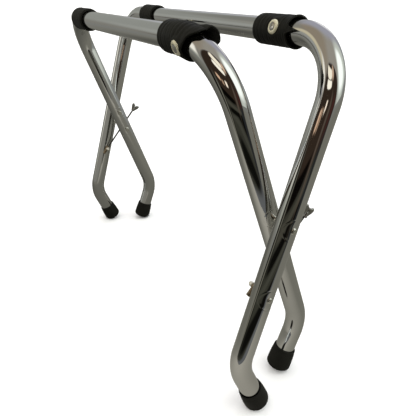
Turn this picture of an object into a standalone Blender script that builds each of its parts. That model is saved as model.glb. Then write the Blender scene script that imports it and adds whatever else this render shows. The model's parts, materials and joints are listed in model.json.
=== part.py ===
"""Folding trestle of two bent chrome tubes, modelled as its separate pieces.

An outer and an inner U-shaped frame cross in an X and turn on a pivot bolt at each end.
A threaded stay at each end is pinned to the outer leg and slides through a swivelling eye
on the inner leg. A stop nut on the stay sets how far the frames open.

Metres, +Z up, +X along the rails. The origin is on the floor, under the middle of the
pivot axis. The outer frame's rail is at +Y. "right" is the +X end, "left" the -X end.
"""

import math

import bmesh
import bpy
from mathutils import Matrix, Vector

# Tubes
TUBE_RADIUS = 0.0125
TUBE_WALL = 0.0015
OUTER_LEG_X = 0.2826  # leg axes, from the middle
INNER_LEG_X = 0.2503
HALF_ANGLE = math.radians(18.37)  # each frame leans this far from upright when open
ARM = 0.1834  # pivot to rail axis, along the leg
SHANK = 0.1761  # pivot to the corner of the knee bend
SHOULDER_RADIUS = 0.0614  # bend between leg and rail
KNEE_RADIUS = 0.0574
KNEE_TURN = math.radians(39.9)
FOOT_LEAN = KNEE_TURN - HALF_ANGLE
BEND_STEP = math.radians(10)

# Rubber foot tips
FOOT_REACH = 0.0790  # corner of the knee bend to the end of the tip
TIP_RADIUS = 0.0157
TIP_TOP_RADIUS = 0.0142
TIP_LENGTH = 0.0333
TIP_DOME = 0.008
TIP_FLOOR = 0.009
TIP_WEAR = 0.0008  # height worn off where the tip meets the floor

# Rubber rail sleeves, as distances along the rail from its middle
SLEEVE_RADIUS = 0.0162
SLEEVE_BORE = 0.0130
SLEEVES = {
    ("outer", "right"): (0.152, 0.211),
    ("outer", "left"): (0.145, 0.193),
    ("inner", "right"): (0.156, 0.2175),
    ("inner", "left"): (0.142, 0.195),
}
SCREW_PLACES = {  # along the rail's axis, which runs on round the shoulder bend
    ("outer", "right"): 0.1885,
    ("outer", "left"): 0.175,
    ("inner", "right"): 0.1990,
    ("inner", "left"): 0.180,
}
POCKET_FLOOR = 0.0147  # from the rail axis to the flat the washer sits on
WASHER_RADIUS = 0.0076
WASHER_HEIGHT = 0.0024
WASHER_CROWN_RADIUS = 0.0059  # where its flat top ends
WASHER_SHOULDER_RADIUS = 0.0072
WASHER_SHOULDER_DROP = 0.0008  # below its top
WASHER_SEAT = 0.0006  # thickness under the screw's head
WASHER_EYE = 0.0046
SCREW_HEAD_RADIUS = 0.0042
SCREW_HEAD_DOME = 0.0007
SCREW_RADIUS = 0.0020
SCREW_TIP = 0.0070  # from the rail axis

# Pivot
PIVOT_RADIUS = 0.0020
PIVOT_HEAD_RADIUS = 0.0034
PIVOT_NUT_RADIUS = 0.0040
SPACER_RADIUS = 0.0029
HEAD_HEIGHT = 0.0016
NUT_HEIGHT = 0.0028
HEAD_RIM = 0.3  # share of a bolt head's height below its dome

# Stays
ANCHOR_DROP = 0.0804  # pivot to the anchor bolt, along the outer leg
GUIDE_DROP = 0.0368  # pivot to the guide eye, along the inner leg
ROD_RADIUS = 0.0016
ROD_END_RADIUS = 0.0026
ROD_END_TAIL = 0.0125  # below the anchor bolt
ROD_END_HEAD = 0.0040  # above it
ANCHOR_RADIUS = 0.0014
ANCHOR_HEAD_RADIUS = 0.0032
ANCHOR_HEAD_HEIGHT = 0.0015
DOME_NUT_RADIUS = 0.0030
DOME_NUT_HEIGHT = 0.0062
DOME_NUT_CAP = 0.0024  # height of its dome
DOME_NUT_DEPTH = 0.0028  # how far the bolt goes in
GUIDE_RADIUS = 0.0060
GUIDE_THICKNESS = 0.0060
GUIDE_SHANK = 0.0020
GUIDE_SLOT = 0.0052  # across the stay, in the plane it swings in
GUIDE_SLOT_X = 0.0040
GUIDE_NUT_RADIUS = 0.0040
GUIDE_NUT_HEIGHT = 0.0028
STOP_NUT_RADIUS = 0.0031
STOP_NUT_HEIGHT = 0.0030
WING_START = 0.0930  # anchor bolt to the wing nut's base
WING_HUB_HEIGHT = 0.0065
HUB_RADIUS = 0.0034
HUB_TOP_RADIUS = 0.0027
WING_SPAN = 0.0160
WING_RISE = 0.0145
WING_THICKNESS = 0.0014
EAR_LOBE = 0.0030  # radius of an ear's round end
EAR_ROOT = 0.0016  # where an ear starts, inside the hub
EAR_LOW = 0.0010  # height of its lower edge there
EAR_HIGH = 0.0056
EAR_START = math.radians(-60)
EAR_SWEEP = math.radians(200)
EAR_STEPS = 8
ROD_STANDOUT = 0.0015

GAP = 0.0003  # between pieces that touch
CHAMFER = 0.0003
CUT = 0.005  # how far a cutter runs past what it cuts
FLOOR_SIZE = 0.8  # the cutter that flattens the tips
FLOOR_DEPTH = 0.05

# Round pieces
TUBE_BEVEL = 6  # 16 sides
BORE_BEVEL = 4  # 12 sides
SLEEVE_BEVEL = 8  # 20 sides
ROD_BEVEL = 3
TURN_STEPS = 18
SMALL_STEPS = 12
WALL_STEPS = 4  # down a foot tip's side
DOME_STEPS = 5  # round its end

GAP_X = (OUTER_LEG_X + INNER_LEG_X) / 2  # plane midway between the leg tubes
SIDES = {"outer": 1, "inner": -1}
ENDS = {"right": 1, "left": -1}
LEG_X = {"outer": OUTER_LEG_X, "inner": INNER_LEG_X}


def tip_drop():
    """Height from the knee corner down to the lowest point of the unworn tip."""
    straight = (FOOT_REACH - TIP_DOME) * math.cos(FOOT_LEAN)
    dome = math.hypot(TIP_DOME * math.cos(FOOT_LEAN), TIP_RADIUS * math.sin(FOOT_LEAN))
    return straight + dome


PIVOT_Z = SHANK * math.cos(HALF_ANGLE) + tip_drop() - TIP_WEAR
PIVOT = Vector((0, 0, PIVOT_Z))


# Directions and places


def leg_up(side):
    return Vector((0, side * math.sin(HALF_ANGLE), math.cos(HALF_ANGLE)))


def foot_down(side):
    return Vector((0, side * math.sin(FOOT_LEAN), -math.cos(FOOT_LEAN)))


def frame_normal(side):
    """Normal of a frame's plane, on the side that faces -Y."""
    return Vector((0, -math.cos(HALF_ANGLE), side * math.sin(HALF_ANGLE)))


def on_leg(x, side, drop):
    """A point on a leg's axis, this far below the pivot along the leg."""
    return Vector((x, 0, PIVOT_Z)) - leg_up(side) * drop


def rail_point(frame, along):
    """A point on the rail's axis, which runs on round the shoulder bend."""
    side = SIDES[frame]
    end = math.copysign(1, along)
    bend_x = LEG_X[frame] - SHOULDER_RADIUS
    turn = max(0.0, abs(along) - bend_x) / SHOULDER_RADIUS
    flat = min(abs(along), bend_x)
    x = end * (flat + SHOULDER_RADIUS * math.sin(turn))
    arm = ARM - SHOULDER_RADIUS * (1 - math.cos(turn))
    return Vector((x, 0, PIVOT_Z)) + leg_up(side) * arm


def anchor_point(end):
    return on_leg(end * GAP_X, SIDES["outer"], ANCHOR_DROP)


def guide_point(end):
    return on_leg(end * GAP_X, SIDES["inner"], GUIDE_DROP)


STAY_DIRECTION = (guide_point(1) - anchor_point(1)).normalized()
GUIDE_REACH = (guide_point(1) - anchor_point(1)).length


# Scene helpers


def clear_scene():
    for obj in list(bpy.data.objects):
        bpy.data.objects.remove(obj, do_unlink=True)


def new_collection(name):
    collection = bpy.data.collections.new(name)
    bpy.context.scene.collection.children.link(collection)
    return collection


def make_material(name, color, roughness, metallic):
    material = bpy.data.materials.new(name)
    material.use_nodes = True
    shader = material.node_tree.nodes["Principled BSDF"]
    shader.inputs["Base Color"].default_value = (*color, 1)
    shader.inputs["Roughness"].default_value = roughness
    shader.inputs["Metallic"].default_value = metallic
    return material


def add_empty(name, place):
    empty = bpy.data.objects.new(name, None)
    empty.location = place
    PARTS.objects.link(empty)
    return empty


def add_part(name, mesh, material, parent, place=None, axis=None):
    """Links a mesh as a sub-part. place and axis put its origin and its local +Z in the world.

    Without a place the mesh is in world coordinates, and its origin moves to the parent's.
    """
    obj = bpy.data.objects.new(name, mesh)
    mesh.materials.append(material)
    PARTS.objects.link(obj)
    if place is None:
        mesh.transform(Matrix.Translation(-parent.location))
        place = parent.location
    if axis is not None:
        obj.rotation_euler = axis.to_track_quat("Z", "Y").to_euler()
    obj.parent = parent
    obj.location = place - parent.location
    return obj


def add_cutter(name, mesh, place=None, axis=None):
    obj = bpy.data.objects.new(name, mesh)
    CUTTERS.objects.link(obj)
    obj.hide_render = True
    obj.display_type = "WIRE"
    if place is not None:
        obj.location = place
    if axis is not None:
        obj.rotation_euler = axis.to_track_quat("Z", "Y").to_euler()
    return obj


def boolean(obj, other, operation="DIFFERENCE"):
    modifier = obj.modifiers.new(f"{operation.lower()} {other.name}", "BOOLEAN")
    modifier.operation = operation
    modifier.solver = "EXACT"
    modifier.object = other


def smooth(mesh, angle=40):
    mesh.shade_smooth()
    mesh.set_sharp_from_angle(angle=math.radians(angle))
    return mesh


# Shape helpers


def filleted(corners, radii):
    """The corners as a path, each inner corner rounded to its radius in even steps."""
    path = [corners[0]]
    for before, corner, after, radius in zip(corners, corners[1:], corners[2:], radii):
        a = (before - corner).normalized()
        b = (after - corner).normalized()
        turn = math.pi - a.angle(b)
        start = corner + a * radius * math.tan(turn / 2)
        centre = corner + (a + b).normalized() * radius / math.cos(turn / 2)
        out = (start - centre).normalized()
        steps = max(3, round(turn / BEND_STEP))
        for k in range(steps + 1):
            bend = turn * k / steps
            path.append(centre + (out * math.cos(bend) - a * math.sin(bend)) * radius)
    path.append(corners[-1])
    return path


def swept_mesh(name, path, radius, bevel):
    """A round bar along a path, as a closed mesh."""
    curve = bpy.data.curves.new(name, "CURVE")
    curve.dimensions = "3D"
    curve.bevel_depth = radius
    curve.bevel_resolution = bevel
    curve.use_fill_caps = True
    spline = curve.splines.new("POLY")
    spline.points.add(len(path) - 1)
    for point, place in zip(spline.points, path):
        point.co = (*place, 1)
    return curve_to_mesh(name, curve)


def plate_mesh(name, outline, thickness):
    """A flat outline in the local XZ plane, extruded along Y."""
    curve = bpy.data.curves.new(name, "CURVE")
    curve.dimensions = "2D"
    curve.fill_mode = "BOTH"
    curve.extrude = thickness / 2
    spline = curve.splines.new("POLY")
    spline.points.add(len(outline) - 1)
    for point, (x, z) in zip(spline.points, outline):
        point.co = (x, z, 0, 1)
    spline.use_cyclic_u = True
    mesh = curve_to_mesh(name, curve)
    for vertex in mesh.vertices:
        x, z, y = vertex.co
        vertex.co = (x, -y, z)
    return mesh


def curve_to_mesh(name, curve):
    guide = bpy.data.objects.new(name, curve)
    bpy.context.scene.collection.objects.link(guide)
    graph = bpy.context.evaluated_depsgraph_get()
    mesh = bpy.data.meshes.new_from_object(guide.evaluated_get(graph))
    bpy.data.objects.remove(guide, do_unlink=True)
    mesh.name = name
    form = bmesh.new()
    form.from_mesh(mesh)
    bmesh.ops.remove_doubles(form, verts=form.verts, dist=0.00001)
    bmesh.ops.recalc_face_normals(form, faces=form.faces)
    form.to_mesh(mesh)
    form.free()
    return smooth(mesh)


def cylinder_mesh(name, radius, low, high, sides=SMALL_STEPS, top_radius=None):
    """A cylinder or cone about local Z, between two heights."""
    form = bmesh.new()
    top = radius if top_radius is None else top_radius
    bmesh.ops.create_cone(
        form, cap_ends=True, segments=sides, radius1=radius, radius2=top, depth=high - low
    )
    bmesh.ops.translate(form, verts=form.verts, vec=(0, 0, (high + low) / 2))
    mesh = bpy.data.meshes.new(name)
    form.to_mesh(mesh)
    form.free()
    return smooth(mesh)


def box_mesh(name, size, centre=(0, 0, 0)):
    form = bmesh.new()
    bmesh.ops.create_cube(form, size=1)
    bmesh.ops.scale(form, verts=form.verts, vec=size)
    bmesh.ops.translate(form, verts=form.verts, vec=centre)
    mesh = bpy.data.meshes.new(name)
    form.to_mesh(mesh)
    form.free()
    return mesh


def profile_mesh(name, points, closed=False):
    """The (radius, height) points of a turned shape, running down its outer side."""
    mesh = bpy.data.meshes.new(name)
    edges = [(k, k + 1) for k in range(len(points) - 1)]
    if closed:
        edges.append((len(points) - 1, 0))
    mesh.from_pydata([(radius, 0, height) for radius, height in points], edges, [])
    return mesh


def turn(obj, steps):
    """Turns the object's profile about its local Z axis."""
    screw = obj.modifiers.new("turned", "SCREW")
    screw.axis = "Z"
    screw.angle = 2 * math.pi
    screw.screw_offset = 0
    screw.steps = steps
    screw.render_steps = steps
    screw.use_merge_vertices = True
    screw.merge_threshold = 0.00001
    screw.use_smooth_shade = True
    return obj


def arc_points(radius, height, base=0.0, steps=4):
    """A quarter ellipse from the axis out to (radius, base), as turned-profile points."""
    points = []
    for k in range(steps + 1):
        angle = math.pi / 2 * k / steps
        points.append((radius * math.sin(angle), base + height * math.cos(angle)))
    return points


def bolt_profile(head_radius, head_height, shank_radius, length):
    """A domed head on local +Z and a shank below it."""
    rim = head_height * HEAD_RIM
    points = arc_points(head_radius, head_height - rim, rim)
    points.append((head_radius, 0))
    points.append((shank_radius, 0))
    points.append((shank_radius, -length))
    points.append((0, -length))
    return points


def hex_nut(name, radius, low, high, bore, material, parent, place, axis):
    nut = add_part(
        name, cylinder_mesh(name, radius, low, high, sides=6), material, parent, place, axis
    )
    hole = cylinder_mesh(f"{name} hole", bore, low - CUT, high + CUT)
    boolean(nut, add_cutter(f"{name} hole", hole, place, axis))
    return nut


# Frames


def frame_path(frame, foot_length):
    side = SIDES[frame]
    x = LEG_X[frame]
    right = [
        on_leg(x, side, SHANK) + foot_down(side) * foot_length,
        on_leg(x, side, SHANK),
        on_leg(x, side, -ARM),
    ]
    left = [Vector((-point.x, point.y, point.z)) for point in reversed(right)]
    radii = [KNEE_RADIUS, SHOULDER_RADIUS, SHOULDER_RADIUS, KNEE_RADIUS]
    return filleted(right + left, radii)


def cross_bores(frame):
    """(name, drop below the pivot, radius) of each hole drilled along X through a leg."""
    bores = [("pivot", 0.0, PIVOT_RADIUS + GAP)]
    if frame == "outer":
        bores.append(("anchor", ANCHOR_DROP, ANCHOR_RADIUS + GAP))
    else:
        bores.append(("guide", GUIDE_DROP, GUIDE_SHANK + GAP))
    return bores


def make_frame(frame, parent):
    name = f"{frame}_frame_tube"
    side = SIDES[frame]
    tube_end = FOOT_REACH - TIP_FLOOR - GAP
    mesh = swept_mesh(name, frame_path(frame, tube_end), TUBE_RADIUS, TUBE_BEVEL)
    tube = add_part(name, mesh, CHROME, parent)
    bore = swept_mesh(
        f"{name} bore", frame_path(frame, tube_end + CUT), TUBE_RADIUS - TUBE_WALL, BORE_BEVEL
    )
    boolean(tube, add_cutter(f"{name} bore", bore))
    for end_name, end in ENDS.items():
        for bore_name, drop, radius in cross_bores(frame):
            label = f"{frame} {end_name} {bore_name} bore"
            reach = TUBE_RADIUS + CUT
            hole = cylinder_mesh(label, radius, -reach, reach)
            place = on_leg(end * LEG_X[frame], side, drop)
            boolean(tube, add_cutter(label, hole, place, Vector((1, 0, 0))))
        label = f"{frame} {end_name} screw bore"
        hole = cylinder_mesh(label, SCREW_RADIUS + GAP, SCREW_TIP, TUBE_RADIUS + CUT)
        place = rail_point(frame, end * SCREW_PLACES[frame, end_name])
        boolean(tube, add_cutter(label, hole, place, frame_normal(side) * end))
    return tube


# Sleeves, washers and screws


def sleeve_path(frame, end, start, stop):
    """Points along the rail's axis, which match the tube's own steps round the bend."""
    stops = [start]
    along = LEG_X[frame] - SHOULDER_RADIUS
    while along < stop:
        stops.append(along)
        along += SHOULDER_RADIUS * BEND_STEP
    stops.append(stop)
    return [rail_point(frame, end * along) for along in stops]


def make_sleeve(frame, end_name, parent):
    end = ENDS[end_name]
    start, stop = SLEEVES[frame, end_name]
    name = f"{frame}_sleeve_{end_name}"
    path = sleeve_path(frame, end, start, stop)
    mesh = swept_mesh(name, path, SLEEVE_RADIUS, SLEEVE_BEVEL)
    sleeve = add_part(name, mesh, RUBBER, parent)
    bore_path = sleeve_path(frame, end, start - CUT, stop + CUT)
    bore = swept_mesh(f"{name} bore", bore_path, SLEEVE_BORE, SLEEVE_BEVEL)
    boolean(sleeve, add_cutter(f"{name} bore", bore))
    place = rail_point(frame, end * SCREW_PLACES[frame, end_name])
    outward = frame_normal(SIDES[frame]) * end
    for label, radius, low in (
        (f"{name} pocket", WASHER_RADIUS + GAP, POCKET_FLOOR),
        (f"{name} screw hole", SCREW_RADIUS + GAP, SCREW_TIP),
    ):
        hole = cylinder_mesh(label, radius, low, SLEEVE_RADIUS + CUT, sides=TURN_STEPS)
        boolean(sleeve, add_cutter(label, hole, place, outward))
    return sleeve


def make_sleeve_fixing(frame, end_name, parent):
    """A cup washer and the oval-head screw that holds the sleeve to the rail."""
    end = ENDS[end_name]
    place = rail_point(frame, end * SCREW_PLACES[frame, end_name])
    outward = frame_normal(SIDES[frame]) * end
    low = POCKET_FLOOR + GAP
    high = low + WASHER_HEIGHT
    cup = [
        (WASHER_EYE, high),
        (WASHER_CROWN_RADIUS, high),
        (WASHER_SHOULDER_RADIUS, high - WASHER_SHOULDER_DROP),
        (WASHER_RADIUS, low),
        (SCREW_RADIUS + 2 * GAP, low),
        (SCREW_RADIUS + 2 * GAP, low + WASHER_SEAT),
    ]
    name = f"{frame}_cup_washer_{end_name}"
    washer = add_part(
        name, profile_mesh(name, cup, closed=True), WASHER_METAL, parent, place, outward
    )
    turn(washer, TURN_STEPS)
    screw = arc_points(SCREW_HEAD_RADIUS, SCREW_HEAD_DOME, high + GAP)
    screw += [
        (SCREW_RADIUS, low + WASHER_SEAT),
        (SCREW_RADIUS, SCREW_TIP + SCREW_RADIUS),
        (0, SCREW_TIP),
    ]
    name = f"{frame}_sleeve_screw_{end_name}"
    turn(add_part(name, profile_mesh(name, screw), ZINC, parent, place, outward), SMALL_STEPS)


# Feet


def make_tip(frame, end_name, parent):
    side = SIDES[frame]
    name = f"{frame}_foot_tip_{end_name}"
    bore = TUBE_RADIUS + GAP
    bulge = TIP_RADIUS - TIP_TOP_RADIUS
    points = [(0, TIP_FLOOR), (bore, TIP_FLOOR), (bore, TIP_LENGTH)]
    for k in range(WALL_STEPS):
        rise = 1 - k / WALL_STEPS
        height = TIP_DOME + (TIP_LENGTH - TIP_DOME) * rise
        points.append((TIP_RADIUS - bulge * rise**2, height))
    for radius, height in reversed(arc_points(TIP_RADIUS, TIP_DOME, steps=DOME_STEPS)):
        points.append((radius, TIP_DOME - height))
    knee = on_leg(ENDS[end_name] * LEG_X[frame], side, SHANK)
    place = knee + foot_down(side) * FOOT_REACH
    tip = add_part(name, profile_mesh(name, points), RUBBER, parent, place, -foot_down(side))
    turn(tip, TURN_STEPS)
    boolean(tip, FLOOR_CUTTER)
    return tip


# Pivot and anchor fasteners


def make_pivot(end_name, parent):
    end = ENDS[end_name]
    outward = Vector((end, 0, 0))
    place = Vector((0, 0, PIVOT_Z))
    head_seat = OUTER_LEG_X + TUBE_RADIUS + GAP
    nut_seat = INNER_LEG_X - TUBE_RADIUS - GAP
    length = head_seat - nut_seat + NUT_HEIGHT + GAP
    name = f"pivot_bolt_{end_name}"
    points = bolt_profile(PIVOT_HEAD_RADIUS, HEAD_HEIGHT, PIVOT_RADIUS, length)
    bolt = add_part(
        name, profile_mesh(name, points), ZINC, parent, place + outward * head_seat, outward
    )
    turn(bolt, SMALL_STEPS)
    name = f"pivot_spacer_{end_name}"
    half = OUTER_LEG_X - GAP_X - TUBE_RADIUS - GAP
    bore = PIVOT_RADIUS + GAP
    points = [(SPACER_RADIUS, half), (SPACER_RADIUS, -half), (bore, -half), (bore, half)]
    ring = profile_mesh(name, points, closed=True)
    turn(add_part(name, ring, ZINC, parent, place + outward * GAP_X, outward), SMALL_STEPS)
    hex_nut(
        f"pivot_nut_{end_name}",
        PIVOT_NUT_RADIUS,
        -NUT_HEIGHT,
        0,
        PIVOT_RADIUS + GAP,
        ZINC,
        parent,
        place + outward * nut_seat,
        outward,
    )


def make_anchor(end_name, parent):
    end = ENDS[end_name]
    outward = Vector((end, 0, 0))
    axis_point = anchor_point(end)
    head_seat = OUTER_LEG_X + TUBE_RADIUS + GAP
    nut_seat = GAP_X - ROD_END_RADIUS - GAP
    length = head_seat - nut_seat + DOME_NUT_DEPTH
    place = Vector((end * head_seat, axis_point.y, axis_point.z))
    name = f"anchor_bolt_{end_name}"
    points = bolt_profile(ANCHOR_HEAD_RADIUS, ANCHOR_HEAD_HEIGHT, ANCHOR_RADIUS, length)
    turn(add_part(name, profile_mesh(name, points), ZINC, parent, place, outward), SMALL_STEPS)
    name = f"anchor_dome_nut_{end_name}"
    bore = ANCHOR_RADIUS + GAP
    blind = DOME_NUT_DEPTH + GAP
    points = arc_points(DOME_NUT_RADIUS, DOME_NUT_CAP, DOME_NUT_HEIGHT - DOME_NUT_CAP)
    points += [(DOME_NUT_RADIUS, 0), (bore, 0), (bore, blind), (0, blind)]
    place = Vector((end * nut_seat, axis_point.y, axis_point.z))
    turn(add_part(name, profile_mesh(name, points), ZINC, parent, place, -outward), SMALL_STEPS)


# Stays, guides and wing nuts


def make_stay(end_name, parent):
    end = ENDS[end_name]
    anchor = anchor_point(end)
    name = f"stay_rod_{end_name}"
    wing_top = WING_START + WING_HUB_HEIGHT + ROD_STANDOUT
    path = [anchor + STAY_DIRECTION * (ROD_END_HEAD + GAP), anchor + STAY_DIRECTION * wing_top]
    add_part(name, swept_mesh(name, path, ROD_RADIUS, ROD_BEVEL), ZINC, parent)

    name = f"rod_end_{end_name}"
    points = [
        (0, ROD_END_HEAD),
        (ROD_END_RADIUS - CHAMFER, ROD_END_HEAD),
        (ROD_END_RADIUS, ROD_END_HEAD - CHAMFER),
        (ROD_END_RADIUS, CHAMFER - ROD_END_TAIL),
        (ROD_END_RADIUS - CHAMFER, -ROD_END_TAIL),
        (0, -ROD_END_TAIL),
    ]
    barrel = add_part(name, profile_mesh(name, points), ZINC, parent, anchor, STAY_DIRECTION)
    turn(barrel, SMALL_STEPS)
    label = f"{name} cross hole"
    reach = ROD_END_RADIUS + CUT
    hole = cylinder_mesh(label, ANCHOR_RADIUS + GAP, -reach, reach)
    boolean(barrel, add_cutter(label, hole, anchor, Vector((1, 0, 0))))

    low = GUIDE_REACH + GUIDE_RADIUS + GAP
    hex_nut(
        f"stop_nut_{end_name}",
        STOP_NUT_RADIUS,
        low,
        low + STOP_NUT_HEIGHT,
        ROD_RADIUS + GAP,
        ZINC,
        parent,
        anchor,
        STAY_DIRECTION,
    )


def make_guide(end_name, parent):
    """A headed pin whose disc head, between the legs, is slotted for the stay."""
    end = ENDS[end_name]
    outward = Vector((end, 0, 0))
    place = guide_point(end)
    half = GUIDE_THICKNESS / 2
    nut_seat = GAP_X - INNER_LEG_X + TUBE_RADIUS + GAP
    length = nut_seat + GUIDE_NUT_HEIGHT + GAP
    name = f"guide_eye_{end_name}"
    points = [
        (0, half),
        (GUIDE_RADIUS - CHAMFER, half),
        (GUIDE_RADIUS, half - CHAMFER),
        (GUIDE_RADIUS, CHAMFER - half),
        (GUIDE_RADIUS - CHAMFER, -half),
        (GUIDE_SHANK, -half),
        (GUIDE_SHANK, -length),
        (0, -length),
    ]
    eye = add_part(name, profile_mesh(name, points), ZINC, parent, place, outward)
    turn(eye, TURN_STEPS)
    label = f"{name} slot"
    slot = box_mesh(label, (GUIDE_SLOT_X, GUIDE_SLOT, 2 * (GUIDE_RADIUS + CUT)))
    slot_cutter = add_cutter(label, slot, place)
    lean = math.atan2(-STAY_DIRECTION.y, STAY_DIRECTION.z)
    slot_cutter.rotation_euler = (lean, 0, 0)
    boolean(eye, slot_cutter)
    hex_nut(
        f"guide_nut_{end_name}",
        GUIDE_NUT_RADIUS,
        -GUIDE_NUT_HEIGHT,
        0,
        GUIDE_SHANK + GAP,
        ZINC,
        parent,
        place - outward * nut_seat,
        outward,
    )


def ear_outline():
    """One ear of the wing nut: from inside the hub out to a round lobe."""
    tip_x = WING_SPAN / 2 - EAR_LOBE
    tip_z = WING_RISE - EAR_LOBE
    outline = [(EAR_ROOT, EAR_LOW)]
    for k in range(EAR_STEPS + 1):
        angle = EAR_START + EAR_SWEEP * k / EAR_STEPS
        outline.append((tip_x + EAR_LOBE * math.cos(angle), tip_z + EAR_LOBE * math.sin(angle)))
    outline.append((EAR_ROOT, EAR_HIGH))
    return outline


def make_wing_nut(end_name, parent):
    name = f"wing_nut_{end_name}"
    place = parent.location
    hub = cylinder_mesh(name, HUB_RADIUS, 0, WING_HUB_HEIGHT, top_radius=HUB_TOP_RADIUS)
    nut = add_part(name, hub, ZINC, parent, place, STAY_DIRECTION)
    for label, turned in (("first ear", math.pi / 2), ("second ear", -math.pi / 2)):
        ear = plate_mesh(f"{name} {label}", ear_outline(), WING_THICKNESS)
        ear.transform(Matrix.Rotation(turned, 4, "Z"))
        boolean(nut, add_cutter(f"{name} {label}", ear, place, STAY_DIRECTION), "UNION")
    label = f"{name} bore"
    bore = cylinder_mesh(label, ROD_RADIUS + GAP, -CUT, WING_HUB_HEIGHT + CUT)
    boolean(nut, add_cutter(label, bore, place, STAY_DIRECTION))


clear_scene()
PARTS = new_collection("folding_sawhorse")
CUTTERS = new_collection("cutters")
CUTTERS.hide_render = True

CHROME = make_material("chrome_tube", (0.78, 0.78, 0.76), 0.06, 1.0)
RUBBER = make_material("black_rubber", (0.025, 0.025, 0.023), 0.62, 0.0)
WASHER_METAL = make_material("washer_nickel", (0.80, 0.77, 0.62), 0.25, 1.0)
ZINC = make_material("zinc_steel", (0.62, 0.61, 0.56), 0.30, 1.0)

FLOOR_CUTTER = add_cutter(
    "floor", box_mesh("floor", (FLOOR_SIZE, FLOOR_SIZE, FLOOR_DEPTH), (0, 0, -FLOOR_DEPTH / 2))
)

outer_body = add_empty("outer_frame", PIVOT)
inner_body = add_empty("inner_frame_pivot", PIVOT)
for frame, body in (("outer", outer_body), ("inner", inner_body)):
    make_frame(frame, body)
    for end_name in ENDS:
        make_sleeve(frame, end_name, body)
        make_sleeve_fixing(frame, end_name, body)
        make_tip(frame, end_name, body)

for end_name, end in ENDS.items():
    make_pivot(end_name, outer_body)
    make_anchor(end_name, outer_body)
    stay_body = add_empty(f"stay_{end_name}_pivot", anchor_point(end))
    make_stay(end_name, stay_body)
    make_guide(end_name, add_empty(f"guide_{end_name}_swivel", guide_point(end)))
    wing_place = anchor_point(end) + STAY_DIRECTION * WING_START
    make_wing_nut(end_name, add_empty(f"wing_{end_name}_axis", wing_place))
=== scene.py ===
"""Looks of the folding trestle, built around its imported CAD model.

Metres, +Z up, +X along the rails. The outer frame's rail is at +Y, and "right" is the +X end.
Every CAD node is replaced by a finer piece that rides on the same body.
"""

import json
import math
from collections import namedtuple

import bmesh
import bpy
import numpy as np
from mathutils import Matrix, Vector


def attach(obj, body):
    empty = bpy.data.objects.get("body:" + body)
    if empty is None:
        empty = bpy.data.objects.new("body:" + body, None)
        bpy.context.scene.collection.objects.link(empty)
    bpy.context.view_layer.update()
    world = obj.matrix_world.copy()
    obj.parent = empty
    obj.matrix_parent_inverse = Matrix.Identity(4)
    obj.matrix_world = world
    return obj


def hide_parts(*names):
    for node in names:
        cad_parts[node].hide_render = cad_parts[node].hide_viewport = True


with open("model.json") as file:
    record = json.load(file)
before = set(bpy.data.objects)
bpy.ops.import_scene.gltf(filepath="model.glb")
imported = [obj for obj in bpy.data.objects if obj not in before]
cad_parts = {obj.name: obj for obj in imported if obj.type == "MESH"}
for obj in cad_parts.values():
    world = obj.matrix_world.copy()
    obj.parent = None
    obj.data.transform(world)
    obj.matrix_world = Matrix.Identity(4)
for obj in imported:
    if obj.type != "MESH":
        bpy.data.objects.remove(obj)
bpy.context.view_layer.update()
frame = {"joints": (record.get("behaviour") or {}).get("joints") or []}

# Dimensions, in metres, as in the CAD model
TUBE_RADIUS = 0.0125
TUBE_WALL = 0.0015
LEG_SPACING = 0.0323  # between the outer and inner leg's axes
ARM = 0.1834  # pivot to rail axis, along the leg
SHANK = 0.1761  # pivot to the corner of the knee bend
SHOULDER_RADIUS = 0.0614
KNEE_RADIUS = 0.0574
KNEE_TURN = math.radians(39.9)
FOOT_REACH = 0.0790
TIP_RADIUS = 0.0157
TIP_TOP_RADIUS = 0.0142
TIP_LENGTH = 0.0333
TIP_DOME = 0.008
TIP_FLOOR = 0.009
GUIDE_DROP = 0.0368
ANCHOR_DROP = 0.0804
SLEEVE_RADIUS = 0.0162
SLEEVE_BORE = 0.0130
GAP = 0.0003
WING_START = 0.0930
HUB_HEIGHT = 0.0065
NUT_HEIGHT = 0.0028
BOLT_NUT = (0.0040, -NUT_HEIGHT, 0.0, 0.0021)  # radius to its corners, low, high and bore
BOLT_SHOWS = 0.0003  # how far a bolt stands out of its nut

SIDES = {"outer": 1, "inner": -1}
ENDS = {"right": 1, "left": -1}

# Places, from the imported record
JOINTS = {joint["name"]: joint for joint in frame["joints"]}
PIVOT_Z = JOINTS["fold"]["pos_m"][2]
ANCHOR = {end: Vector(JOINTS[f"stay_{end}_swing"]["pos_m"]) for end in ENDS}
GUIDE = {end: Vector(JOINTS[f"guide_{end}_swivel"]["pos_m"]) for end in ENDS}
WING = {end: Vector(JOINTS[f"wing_nut_{end}_spin"]["pos_m"]) for end in ENDS}
STAY = Vector(JOINTS["wing_nut_right_spin"]["axis"]).normalized()
HALF_ANGLE = math.atan2(-ANCHOR["right"].y, PIVOT_Z - ANCHOR["right"].z)
FOOT_LEAN = KNEE_TURN - HALF_ANGLE
GAP_X = ANCHOR["right"].x
LEG_X = {"outer": GAP_X + LEG_SPACING / 2, "inner": GAP_X - LEG_SPACING / 2}


def leg_up(side):
    return Vector((0, side * math.sin(HALF_ANGLE), math.cos(HALF_ANGLE)))


def foot_down(side):
    return Vector((0, side * math.sin(FOOT_LEAN), -math.cos(FOOT_LEAN)))


def on_leg(x, side, drop):
    return Vector((x, 0, PIVOT_Z)) - leg_up(side) * drop


# Mesh helpers


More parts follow.
